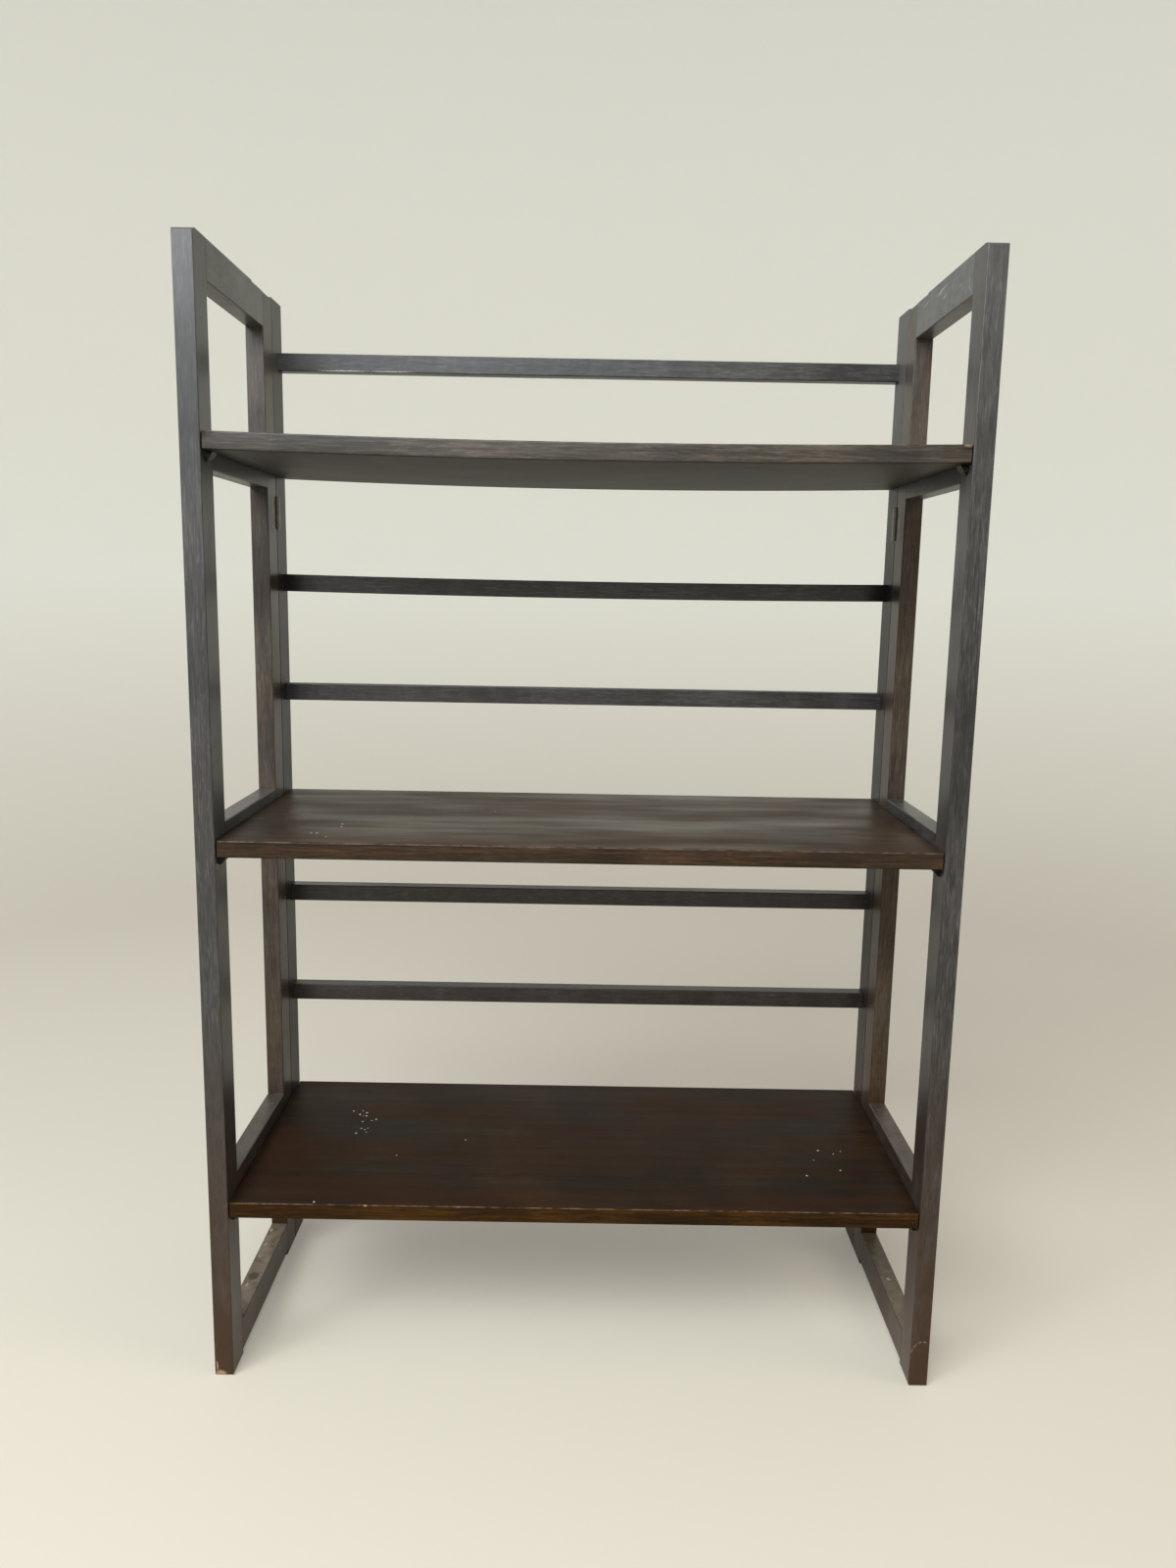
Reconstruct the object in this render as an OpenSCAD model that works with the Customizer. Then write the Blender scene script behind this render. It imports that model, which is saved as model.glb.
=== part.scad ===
// Three-tier folding shelf of dark-stained wood, standing open.
// Millimetres. X is the width, -Y the front, +Z up; the origin is the centre of the footprint on the floor.
// The left side is drawn and the right side is its mirror image.

/* [Whole unit] */
// Width over both side frames
unit_w = 800; // [700:5:1000]
// Top of the bottom shelf above the floor
bottom_shelf_z = 209; // [190:1:260]
// Bottom bay, from the top of the bottom shelf to the top of the middle one
bottom_bay_h = 405; // [370:1:480]
// Middle bay, from the top of the middle shelf to the top of the top one
middle_bay_h = 411; // [370:1:480]
// Top bay, from the top of the top shelf to the top of the side frames
top_bay_h = 188; // [170:1:260]

/* [Side frames] */
// Thickness of posts, rails and stiles, left to right
post_w = 21; // [18:0.5:26]
// Depth of a post, front to back
post_d = 38; // [32:0.5:46]
// Depth of a side frame over both posts
side_d = 279; // [250:1:330]
// Rounding of the long edges of posts, rails and slats
edge_r = 1.2; // [0.5:0.1:3]
// Length of the eased front top corner of a side frame, front to back
top_corner_l = 14; // [4:1:20]
// Drop of the eased front top corner
top_corner_h = 4; // [2:0.5:8]
// Rounding of the bottom ends of posts and stiles
foot_r = 3; // [1:0.5:5]
// Rounding of the top ends of posts and stiles, on their long sides
top_r = 1; // [0.5:0.1:3]
// Height of a shelf rail and of the floor rail
rail_h = 38; // [30:1:46]
// Height of the top rail
top_rail_h = 41; // [34:1:50]
// Depth of the step in the upper edge of the top rail
top_step = 2; // [1:0.5:4]
// Length of the lowered stretch of the top rail, in front of the back post
top_step_l = 43; // [20:1:60]
// Underside of the floor rail above the floor
floor_rail_z = 6.5; // [3:0.5:15]
// How far the rail beside the bottom shelf stands above the shelf's top
lower_rail_up = 18; // [0:0.5:20]
// How far the rail beside the middle shelf stands above the shelf's top
middle_rail_up = 13.5; // [0:0.5:20]
// How far the rail beside the top shelf stands above the shelf's top
upper_rail_up = 3; // [0:0.5:20]

/* [Back frame] */
// Gap between the side frames and the back frame
joint_gap = 0.5; // [0.3:0.1:1.5]
// Depth of a stile, front to back
stile_d = 44.5; // [42:0.5:60]
// How far the stiles rise above the side frames
stile_rise = 0.5; // [0:0.5:3]
// Rounding of a stile's top corner at the back
stile_corner_r = 5; // [1:0.5:10]
// Height of a back slat
slat_h = 21; // [16:1:30]
// Thickness of a back slat, front to back
slat_t = 19; // [12:0.5:20]
// First slat above the bottom shelf, from the shelf's top to the slat's underside
bottom_slat_up = 123; // [100:1:140]
// Second slat above the bottom shelf, measured the same way
second_slat_up = 259; // [220:1:270]
// First slat above the middle shelf
third_slat_up = 118; // [100:1:140]
// Second slat above the middle shelf
fourth_slat_up = 255; // [220:1:270]
// Slat above the top shelf
top_slat_up = 109; // [90:1:130]

/* [Shelves] */
// Thickness of a shelf
shelf_t = 18; // [15:0.5:19]
// Rounding of the long edges of a shelf
shelf_r = 1.5; // [0.5:0.5:3]
// Gap at each end of a shelf
end_gap = 1.5; // [1.2:0.1:3]
// How far a shelf's front edge lies behind the posts' front faces
shelf_setback = 1; // [0:0.5:5]
// How far a shelf's back edge lies in front of the stiles' back faces
shelf_back_gap = 2.5; // [2:0.5:10]
// Gap between a folded-up shelf and the back of the side frames
fold_gap = 3; // [1:0.5:3.5]

/* [Pegs, pins and dowels] */
// Diameter of the pegs that a shelf's front corners rest on
peg_d = 15; // [10:0.5:18]
// How far a peg stands out of its post
peg_out = 8; // [5:0.5:15]
// Length of a peg inside its post
peg_in = 12; // [8:0.5:16]
// Height of the flat tip of a peg, above its rounded nose
peg_tip_h = 1; // [0.5:0.5:3]
// Radius of the nose, which runs from the tip back to the post's face
peg_nose_r = 22; // [14:1:40]
// How much is planed off the top of a peg, so that a shelf rests flat on it
peg_seat = 4; // [2:0.5:4.5]
// Gap between a peg and the shelf that it carries
peg_gap = 0.2; // [0.1:0.1:0.5]
// Diameter of the steel pins that a shelf turns on
pin_d = 6; // [4:0.5:8]
// Length of a pin inside its stile
pin_in_stile = 14; // [8:0.5:16]
// Length of a pin inside its shelf
pin_in_shelf = 12.5; // [8:0.5:30]
// Running clearance round a pin, on the radius
pin_play = 0.05; // [0.02:0.01:0.1]
// Diameter of the dowels in the frame joints
dowel_d = 8; // [6:0.5:10]
// Length of a dowel inside a rail or slat
dowel_in = 16; // [10:0.5:20]
// Wood left in a post between a peg and the dowels behind it
dowel_wall = 3; // [2:0.5:4]
// Distance between the two dowels of one rail end
dowel_pitch = 18; // [14:0.5:20]
// Length of a slat dowel inside its stile
slat_dowel_in = 12; // [8:0.5:15]
// Glue space round a dowel or peg, on the radius
glue = 0.05; // [0.02:0.01:0.2]
// Glue space at a dowel's end
glue_end = 0.5; // [0.2:0.1:1]

/* [Hinges] */
// Height of a butt hinge
hinge_h = 38; // [30:1:38]
// Gap between the back edge of a shelf that folds up and the hinge below it
hinge_gap = 2; // [1:0.5:6]
// Width of one leaf, from the pin's axis
leaf_w = 18; // [14:0.5:22]
// Thickness of a leaf
leaf_t = 1.2; // [0.8:0.1:1.6]
// Radius of the barrel
barrel_r = 2.55; // [2.2:0.05:3]
// Radius of the hinge pin
hinge_pin_r = 1.2; // [0.9:0.1:1.4]
// Number of knuckles, an odd number
knuckles = 5; // [3:2:7]
// Gap between two knuckles, and round the barrel
knuckle_gap = 0.3; // [0.2:0.05:0.5]
// Distance of the screws from the leaf's top and bottom edges
screw_inset = 9; // [6:0.5:12]
// Distance of the screws from the pin's axis
screw_out = 11; // [8:0.5:13]
// Radius of a screw's head
screw_head_r = 2.7; // [2.2:0.1:3.2]
// Radius of a screw's shank
screw_r = 1.5; // [1:0.1:1.8]
// Length of a screw's shank in the wood
screw_l = 14; // [8:0.5:16]

/* [Hidden] */

$fn = 48;
// Overshoot of a cutter past the face that it leaves
over = 1;

// Places from front to back
depth = side_d + joint_gap + stile_d;
front_y = -depth / 2;
back_y = depth / 2;
rail_front_y = front_y + post_d;
rail_back_y = front_y + side_d - post_d;
stile_y = front_y + side_d + joint_gap;
slat_y = back_y - slat_t;
rail_l = side_d - 2 * post_d;

// Places from left to right, on the left side
outer_x = -unit_w / 2;
inner_x = outer_x + post_w;
shelf_end_x = inner_x + end_gap;
mid_x = outer_x + post_w / 2;

// Heights
middle_shelf_z = bottom_shelf_z + bottom_bay_h;
top_shelf_z = middle_shelf_z + middle_bay_h;
frame_h = top_shelf_z + top_bay_h;
stile_h = frame_h + stile_rise;
shelf_zs = [bottom_shelf_z, middle_shelf_z, top_shelf_z];
lower_rail_z = bottom_shelf_z + lower_rail_up - rail_h;
middle_rail_z = middle_shelf_z + middle_rail_up - rail_h;
upper_rail_z = top_shelf_z + upper_rail_up - rail_h;
rail_zs = [floor_rail_z, lower_rail_z, middle_rail_z, upper_rail_z];
top_rail_z = frame_h - top_rail_h;
dowel_zs = concat([for (z = rail_zs) z + rail_h / 2], [top_rail_z + (top_rail_h - top_step) / 2]);
slat_zs = [
    bottom_shelf_z + bottom_slat_up, bottom_shelf_z + second_slat_up,
    middle_shelf_z + third_slat_up, middle_shelf_z + fourth_slat_up, top_shelf_z + top_slat_up
];

// Shelves and what they turn on
shelf_front_y = front_y + shelf_setback;
shelf_d = back_y - shelf_back_gap - shelf_front_y;
pivot_y = stile_y + fold_gap + shelf_t / 2;
pivot_x = inner_x - pin_in_stile;
pin_l = pin_in_stile + end_gap + pin_in_shelf;
// The lowest point that the back edge of a shelf reaches below its pivot while it folds
tail_reach = norm([back_y - shelf_back_gap - pivot_y, shelf_t / 2]);

// Pegs stand in the middle of the front posts
peg_y = front_y + post_d / 2;
peg_zs = [for (z = shelf_zs) z - shelf_t - peg_gap + peg_seat - peg_d / 2];

// Dowels end short of the pegs
post_dowel_in = post_d / 2 - peg_d / 2 - dowel_wall - glue_end;

// Hinges
axis_y = front_y + side_d + joint_gap / 2;
leaf_play = 0.05;
axis_x = inner_x - leaf_t - leaf_play + barrel_r;
knuckle_h = hinge_h / knuckles;
pin_head_r = hinge_pin_r + 0.9;
pin_head_h = 0.8;
recess = [2.8, 0.5, 1.2];
hinge_zs = [for (z = shelf_zs) z - shelf_t / 2 - tail_reach - hinge_gap - pin_head_h - hinge_h];

wood = [0.24, 0.15, 0.12];
dark_wood = [0.19, 0.12, 0.1];
beech = [0.78, 0.6, 0.4];
bronze = [0.16, 0.14, 0.12];
steel = [0.6, 0.6, 0.62];

// A rectangle with round corners, its lowest corner at the origin
module round_rect(w, h, r) {
    translate([r, 0]) square([w - 2 * r, h]);
    translate([0, r]) square([w, h - 2 * r]);
    for (x = [r, w - r]) for (y = [r, h - r]) translate([x, y]) circle(r);
}

// Bars along each axis, with round long edges
module bar_x(x, y, z, l, d, h, r) {
    translate([x, y, z]) rotate([90, 0, 90]) linear_extrude(l) round_rect(d, h, r);
}
module bar_y(x, y, z, w, l, h, r) {
    translate([x, y + l, z]) rotate([90, 0, 0]) linear_extrude(l) round_rect(w, h, r);
}
module bar_z(x, y, z, w, d, h, r) {
    translate([x, y, z]) linear_extrude(h) round_rect(w, d, r);
}

// What a rounding takes away from a corner at the origin, of an outline that lies at +X and +Y
module corner_waste(r) {
    difference() {
        translate([-over, -over]) square(r + over);
        translate([r, r]) circle(r);
    }
}

// Cutters for the two bottom edges of a post or stile that run front to back
module foot_waste(y, d) {
    translate([outer_x, y + d + over, 0]) rotate([90, 0, 0]) linear_extrude(d + 2 * over)
        corner_waste(foot_r);
    translate([inner_x, y + d + over, 0]) rotate([90, 0, 0]) linear_extrude(d + 2 * over)
        mirror([1, 0, 0]) corner_waste(foot_r);
}

// Cutters for the two top edges of a post or stile that run front to back; z is the height of its top
module top_waste(y, d, z) {
    translate([outer_x, y + d + over, z]) rotate([90, 0, 0]) linear_extrude(d + 2 * over)
        mirror([0, 1, 0]) corner_waste(top_r);
    translate([inner_x, y + d + over, z]) rotate([90, 0, 0]) linear_extrude(d + 2 * over)
        rotate(180) corner_waste(top_r);
}

// Cutter for the top back edge of a stile
module stile_corner_waste() {
    translate([outer_x - over, back_y, stile_h]) rotate([90, 0, 90]) linear_extrude(post_w + 2 * over)
        rotate(180) corner_waste(stile_corner_r);
}

// Cutter for the bottom front edge of a front post
module toe_waste() {
    translate([outer_x - over, front_y, 0]) rotate([90, 0, 90]) linear_extrude(post_w + 2 * over)
        corner_waste(foot_r);
}

// Cutter for the front top corner of a front post, a quarter of an ellipse
module top_corner_waste() {
    translate([outer_x - over, front_y, frame_h]) rotate([90, 0, 90]) linear_extrude(post_w + 2 * over)
        polygon([for (a = [0:15:90]) [top_corner_l * (1 - sin(a)), -top_corner_h * (1 - cos(a))],
            [-over, -top_corner_h], [-over, over], [top_corner_l, over]]);
}

// Cylinders along Y and along X, from their lowest end
module rod_y(x, y, z, r, l) {
    translate([x, y, z]) rotate([-90, 0, 0]) cylinder(r = r, h = l);
}
module rod_x(x, y, z, r, l) {
    translate([x, y, z]) rotate([0, 90, 0]) cylinder(r = r, h = l);
}

// Dowels at one end of the rails, from the y of their front tips. The extra radius and length are for bores
module rail_dowels(y, more_r, more_l) {
    for (z = dowel_zs) for (s = [-1, 1])
        rod_y(mid_x, y - more_l, z + s * dowel_pitch / 2,
            dowel_d / 2 + more_r, post_dowel_in + dowel_in + 2 * more_l);
}
module front_dowels(more_r, more_l) {
    rail_dowels(rail_front_y - post_dowel_in, more_r, more_l);
}
module back_dowels(more_r, more_l) {
    rail_dowels(rail_back_y - dowel_in, more_r, more_l);
}

// Dowels of the left slat ends
module left_slat_dowels(more_r, more_l) {
    for (z = slat_zs)
        rod_x(inner_x - slat_dowel_in - more_l, slat_y + slat_t / 2, z + slat_h / 2,
            dowel_d / 2 + more_r, slat_dowel_in + dowel_in + 2 * more_l);
}

// Pivot pins of the left shelf ends
module left_pins(more_r, more_l) {
    for (z = shelf_zs)
        rod_x(pivot_x - more_l, pivot_y, z - shelf_t / 2, pin_d / 2 + more_r, pin_l + 2 * more_l);
}

// The nose's axis: how far behind the post's face it lies, and how far above the flat. The nose passes
// through the lower edge of the tip and through the lowest point of the peg at the post's face
nose_run = [peg_out, peg_d - peg_seat - peg_tip_h];
nose_away = sqrt(pow(peg_nose_r, 2) - pow(norm(nose_run) / 2, 2));
nose_back = nose_away * nose_run[1] / norm(nose_run) - peg_out / 2;
nose_up = nose_away * nose_run[0] / norm(nose_run) - (peg_d - peg_seat + peg_tip_h) / 2;

// What is planed off a peg, or left standing in its hole, above its flat
module above_peg(z, more) {
    translate([inner_x - peg_in - over, peg_y - peg_d, z + peg_d / 2 - peg_seat + more])
        cube([peg_in + peg_out + 2 * over, 2 * peg_d, peg_d]);
}

// One peg with a flat along its top and a rounded nose, its axis along X
module peg(z) {
    difference() {
        intersection() {
            rod_x(inner_x - peg_in, peg_y, z, peg_d / 2, peg_in + peg_out);
            rod_y(inner_x - nose_back, peg_y - peg_d / 2 - over, z + peg_d / 2 - peg_seat + nose_up,
                peg_nose_r, peg_d + 2 * over);
        }
        above_peg(z, 0);
    }
}

// Room for a peg in its post
module peg_hole(z) {
    difference() {
        rod_x(inner_x - peg_in - glue_end, peg_y, z, peg_d / 2 + glue, peg_in + glue_end + over);
        above_peg(z, glue);
    }
}

// Where a leaf starts: way is -1 for the leaf on the back post and 1 for the one on the stile
function leaf_y(way) = way < 0 ? axis_y - leaf_w : axis_y;

// One leaf with every second knuckle; first is the number of its lowest knuckle
module leaf(z, way, first) {
    difference() {
        union() {
            translate([inner_x - leaf_t, leaf_y(way), z]) cube([leaf_t, leaf_w, hinge_h]);
            for (k = [first:2:knuckles - 1])
                translate([axis_x, axis_y, z + k * knuckle_h]) cylinder(r = barrel_r, h = knuckle_h);
        }
        translate([axis_x, axis_y, z - over]) cylinder(r = hinge_pin_r + pin_play, h = hinge_h + 2 * over);
        for (k = [1 - first:2:knuckles - 1])
            translate([axis_x, axis_y, z + k * knuckle_h - knuckle_gap / 2])
                cylinder(r = barrel_r + knuckle_gap, h = knuckle_h + knuckle_gap);
        leaf_screws(z, way, leaf_play, 0);
    }
}

// Puts what follows at the two screws of one leaf, on its face, with Z pointing into the wood
module at_screws(z, way) {
    for (h = [screw_inset, hinge_h - screw_inset])
        translate([inner_x, axis_y + way * screw_out, z + h]) rotate([0, -90, 0]) children();
}

// The two countersunk screws of one leaf, with extra radius and length for their holes
module leaf_screws(z, way, more_r, more_l) {
    at_screws(z, way) {
        cylinder(r1 = screw_head_r + more_r, r2 = screw_r + more_r, h = leaf_t);
        cylinder(r = screw_r + more_r, h = leaf_t + screw_l + more_l);
    }
}

// The cross in the two screw heads
module cross_recesses(z, way) {
    at_screws(z, way) for (turn = [0, 90]) rotate(turn) cube(recess, center = true);
}

// Room in a post or stile for its leaves, the barrels and the screws
module hinge_room(way) {
    for (z = hinge_zs) {
        translate([inner_x - leaf_t - leaf_play, leaf_y(way), z]) translate([0, -leaf_play, -leaf_play])
            cube([leaf_t + leaf_play + over, leaf_w + 2 * leaf_play, hinge_h + 2 * leaf_play]);
        translate([axis_x, axis_y, z - knuckle_gap - pin_head_h])
            cylinder(r = barrel_r + knuckle_gap, h = hinge_h + 2 * (knuckle_gap + pin_head_h));
        leaf_screws(z, way, leaf_play, glue_end);
    }
}

// Pieces of one side frame, drawn on the left
module front_post() {
    color(wood) difference() {
        bar_z(outer_x, front_y, 0, post_w, post_d, frame_h, edge_r);
        foot_waste(front_y, post_d);
        toe_waste();
        top_waste(front_y, post_d, frame_h);
        top_corner_waste();
        front_dowels(glue, glue_end);
        for (z = peg_zs) peg_hole(z);
    }
}
module back_post() {
    color(wood) difference() {
        bar_z(outer_x, rail_back_y, 0, post_w, post_d, frame_h - top_step, edge_r);
        foot_waste(rail_back_y, post_d);
        top_waste(rail_back_y, post_d, frame_h - top_step);
        back_dowels(glue, glue_end);
        hinge_room(-1);
    }
}
module rail(z) {
    color(dark_wood) difference() {
        bar_y(outer_x, rail_front_y, z, post_w, rail_l, rail_h, edge_r);
        front_dowels(glue, glue_end);
        back_dowels(glue, glue_end);
    }
}
module top_rail() {
    color(dark_wood) difference() {
        bar_y(outer_x, rail_front_y, top_rail_z, post_w, rail_l, top_rail_h, edge_r);
        translate([outer_x - over, rail_back_y - top_step_l, frame_h - top_step])
            cube([post_w + 2 * over, top_step_l + over, top_step + over]);
        front_dowels(glue, glue_end);
        back_dowels(glue, glue_end);
    }
}
module dowels() {
    color(beech) {
        front_dowels(0, 0);
        back_dowels(0, 0);
    }
}
module pegs() {
    color(dark_wood) for (z = peg_zs) peg(z);
}
module side_leaves() {
    color(bronze) for (z = hinge_zs) leaf(z, -1, 1);
}
module back_leaves() {
    color(bronze) for (z = hinge_zs) leaf(z, 1, 0);
}
module screws(way) {
    color(bronze) difference() {
        for (z = hinge_zs) leaf_screws(z, way, 0, 0);
        for (z = hinge_zs) cross_recesses(z, way);
    }
}
module hinge_pins() {
    color(bronze) for (z = hinge_zs) translate([axis_x, axis_y, z]) {
        cylinder(r = hinge_pin_r, h = hinge_h);
        translate([0, 0, hinge_h]) cylinder(r = pin_head_r, h = pin_head_h);
    }
}

// Pieces of the back frame
module stile() {
    color(wood) difference() {
        bar_z(outer_x, stile_y, 0, post_w, stile_d, stile_h, edge_r);
        foot_waste(stile_y, stile_d);
        top_waste(stile_y, stile_d, stile_h);
        stile_corner_waste();
        left_slat_dowels(glue, glue_end);
        left_pins(0, glue_end);
        hinge_room(1);
    }
}
module slat(z) {
    color(wood) difference() {
        bar_x(inner_x, slat_y, z, -2 * inner_x, slat_t, slat_h, edge_r);
        for (side = [0, 1]) mirror([side, 0, 0]) left_slat_dowels(glue, glue_end);
    }
}
module shelf(z) {
    color(dark_wood) difference() {
        bar_x(shelf_end_x, shelf_front_y, z - shelf_t, -2 * shelf_end_x, shelf_d, shelf_t, shelf_r);
        for (side = [0, 1]) mirror([side, 0, 0]) left_pins(pin_play, glue_end);
    }
}

module left_front_post() { front_post(); }
module left_back_post() { back_post(); }
module left_top_rail() { top_rail(); }
module left_upper_rail() { rail(upper_rail_z); }
module left_middle_rail() { rail(middle_rail_z); }
module left_lower_rail() { rail(lower_rail_z); }
module left_floor_rail() { rail(floor_rail_z); }
module left_dowels() { dowels(); }
module left_shelf_pegs() { pegs(); }
module left_hinge_side_leaves() { side_leaves(); }
module left_hinge_side_screws() { screws(-1); }
module left_hinge_back_leaves() { back_leaves(); }
module left_hinge_back_screws() { screws(1); }
module left_hinge_pins() { hinge_pins(); }

module right_front_post() { mirror([1, 0, 0]) front_post(); }
module right_back_post() { mirror([1, 0, 0]) back_post(); }
module right_top_rail() { mirror([1, 0, 0]) top_rail(); }
module right_upper_rail() { mirror([1, 0, 0]) rail(upper_rail_z); }
module right_middle_rail() { mirror([1, 0, 0]) rail(middle_rail_z); }
module right_lower_rail() { mirror([1, 0, 0]) rail(lower_rail_z); }
module right_floor_rail() { mirror([1, 0, 0]) rail(floor_rail_z); }
module right_dowels() { mirror([1, 0, 0]) dowels(); }
module right_shelf_pegs() { mirror([1, 0, 0]) pegs(); }
module right_hinge_side_leaves() { mirror([1, 0, 0]) side_leaves(); }
module right_hinge_side_screws() { mirror([1, 0, 0]) screws(-1); }
module right_hinge_back_leaves() { mirror([1, 0, 0]) back_leaves(); }
module right_hinge_back_screws() { mirror([1, 0, 0]) screws(1); }
module right_hinge_pins() { mirror([1, 0, 0]) hinge_pins(); }

module left_stile() { stile(); }
module right_stile() { mirror([1, 0, 0]) stile(); }
module top_slat() { slat(slat_zs[4]); }
module fourth_slat() { slat(slat_zs[3]); }
module third_slat() { slat(slat_zs[2]); }
module second_slat() { slat(slat_zs[1]); }
module bottom_slat() { slat(slat_zs[0]); }
module slat_dowels() {
    color(beech) for (side = [0, 1]) mirror([side, 0, 0]) left_slat_dowels(0, 0);
}
module shelf_pivot_pins() {
    color(steel) for (side = [0, 1]) mirror([side, 0, 0]) left_pins(0, 0);
}
module top_shelf() { shelf(top_shelf_z); }
module middle_shelf() { shelf(middle_shelf_z); }
module bottom_shelf() { shelf(bottom_shelf_z); }

left_front_post();
left_back_post();
left_top_rail();
left_upper_rail();
left_middle_rail();
left_lower_rail();
left_floor_rail();
left_dowels();
left_shelf_pegs();
left_hinge_side_leaves();
left_hinge_side_screws();
left_hinge_back_leaves();
left_hinge_back_screws();
left_hinge_pins();
right_front_post();
right_back_post();
right_top_rail();
right_upper_rail();
right_middle_rail();
right_lower_rail();
right_floor_rail();
right_dowels();
right_shelf_pegs();
right_hinge_side_leaves();
right_hinge_side_screws();
right_hinge_back_leaves();
right_hinge_back_screws();
right_hinge_pins();
left_stile();
right_stile();
top_slat();
fourth_slat();
third_slat();
second_slat();
bottom_slat();
slat_dowels();
shelf_pivot_pins();
top_shelf();
middle_shelf();
bottom_shelf();
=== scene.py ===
# %% [markdown]
# # A folding shelf of dark-stained wood
# The real object is a knock-down bookcase: two ladder-like side frames, a slatted back frame and three
# boards that swing up so that the sides can fold flat. The joinery is already modelled as exact solids.
# This lesson loads those solids, sets up a small studio round them, and gives every piece the finish,
# the grain and the wear that the real one shows.

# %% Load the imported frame
import math

import bmesh
import bpy
from mathutils import Matrix, Vector


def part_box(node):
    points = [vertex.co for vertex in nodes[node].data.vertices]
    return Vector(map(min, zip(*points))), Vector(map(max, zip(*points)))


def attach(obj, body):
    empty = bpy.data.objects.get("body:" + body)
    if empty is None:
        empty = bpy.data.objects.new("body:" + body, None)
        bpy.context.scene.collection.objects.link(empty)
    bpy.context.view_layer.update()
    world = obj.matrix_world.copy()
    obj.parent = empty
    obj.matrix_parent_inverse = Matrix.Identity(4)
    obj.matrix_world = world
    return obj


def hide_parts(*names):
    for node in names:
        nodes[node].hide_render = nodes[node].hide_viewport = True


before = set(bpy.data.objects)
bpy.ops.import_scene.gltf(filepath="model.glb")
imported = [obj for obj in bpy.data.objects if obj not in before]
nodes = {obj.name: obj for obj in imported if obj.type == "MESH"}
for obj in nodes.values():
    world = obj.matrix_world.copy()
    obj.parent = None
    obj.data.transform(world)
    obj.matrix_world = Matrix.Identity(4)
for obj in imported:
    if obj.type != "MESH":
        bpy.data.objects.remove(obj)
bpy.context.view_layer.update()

# %% [markdown]
# ## Millimetres and helpers
# Woodwork is measured in millimetres and Blender works in metres, so one constant turns one into the
# other. Every new piece is drawn as a bmesh, and one helper turns it into an object that stays at the
# origin, with its place in its mesh, as the CAD nodes have.

# %% Helpers for new pieces
MM = 0.001


def new_piece(name, bm, material, body, replaced=()):
    """Makes an object of a bmesh, gives it a finish and lets it ride on a body of the frame."""
    mesh = bpy.data.meshes.new(name)
    bm.to_mesh(mesh)
    bm.free()
    piece = bpy.data.objects.new(name, mesh)
    bpy.context.scene.collection.objects.link(piece)
    mesh.materials.append(material)
    if replaced:
        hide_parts(*replaced)
    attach(piece, body)
    print(name, "has", len(mesh.vertices), "points and rides on", body)
    return piece


# %% [markdown]
# ## The camera
# The photograph was taken by hand, a little above the middle shelf and tilted down. A camera that was
# fitted to the straight edges of the shelf gives its place, its turn and its lens. A camera matrix is
# made of three directions: to the right, up, and back along the view.

# %% Camera
CAMERA_PLACE = Vector((2.741, -1340.03, 878.70)) * MM
YAW = 0.00336
PITCH = -0.16643
ROLL = 0.01793
FOCAL_PIXELS = 1186.69
PHOTO_HEIGHT = 1600
SENSOR = 36
NEAREST = 0.05

forward = Vector((
    math.sin(YAW) * math.cos(PITCH),
    math.cos(YAW) * math.cos(PITCH),
    math.sin(PITCH),
))
level_right = Vector((math.cos(YAW), -math.sin(YAW), 0))
level_up = level_right.cross(forward)
right = math.cos(ROLL) * level_right + math.sin(ROLL) * level_up
up = math.cos(ROLL) * level_up - math.sin(ROLL) * level_right

camera_data = bpy.data.cameras.new("photo_camera")
camera_data.sensor_fit = "AUTO"
camera_data.sensor_width = SENSOR
camera_data.lens = FOCAL_PIXELS * SENSOR / PHOTO_HEIGHT
camera_data.clip_start = NEAREST
camera = bpy.data.objects.new("photo_camera", camera_data)
bpy.context.scene.collection.objects.link(camera)
turn = Matrix((right, up, -forward)).transposed().to_4x4()
camera.matrix_world = Matrix.Translation(CAMERA_PLACE) @ turn
bpy.context.scene.camera = camera
print("camera lens in mm:", round(camera_data.lens, 2))

# %% [markdown]
# ## Colours and nodes
# Colours are written as sRGB hex values, as a paint shop or an image editor gives them, but shaders
# work in linear light. One function turns the first into the second. Another adds a shader node with
# its settings and its links, so that each material reads as a short list. A third starts a material
# that is empty but for its output.


# %% Colour and node helpers
def linear(hex_colour):
    """An sRGB hex value such as #3A2A22 as the linear colour that a shader needs."""
    channels = [int(hex_colour[i:i + 2], 16) / 255 for i in (1, 3, 5)]
    return [c / 12.92 if c <= 0.04045 else ((c + 0.055) / 1.055) ** 2.4 for c in channels] + [1]


def add(tree, kind, settings=(), **inputs):
    """Adds a node. Inputs are named by their socket, or i0, i1 and so on by their place."""
    made = tree.nodes.new(kind)
    for name, value in dict(settings).items():
        setattr(made, name, value)
    for name, value in inputs.items():
        is_place = name[0] == "i" and name[1:].isdigit()
        socket = made.inputs[int(name[1:])] if is_place else made.inputs[name.replace("_", " ")]
        if isinstance(value, bpy.types.NodeSocket):
            tree.links.new(value, socket)
        else:
            socket.default_value = value
    return made


def empty_material(name):
    """A material with nothing in it but its output."""
    material = bpy.data.materials.new(name)
    material.use_nodes = True
    material.node_tree.nodes.clear()
    return material, material.node_tree, material.node_tree.nodes.new("ShaderNodeOutputMaterial")


# %% [markdown]
# A mask says how strongly a colour is laid on, from 0 to 1. Most masks here ask whether a value, such as
# a height or a noise, has passed a limit. A limit is two numbers, so that the mask comes in softly
# between them, and several limits can be asked for at once. One more mask tells the rays that look at a
# surface from those that only carry its bounced light.


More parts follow.
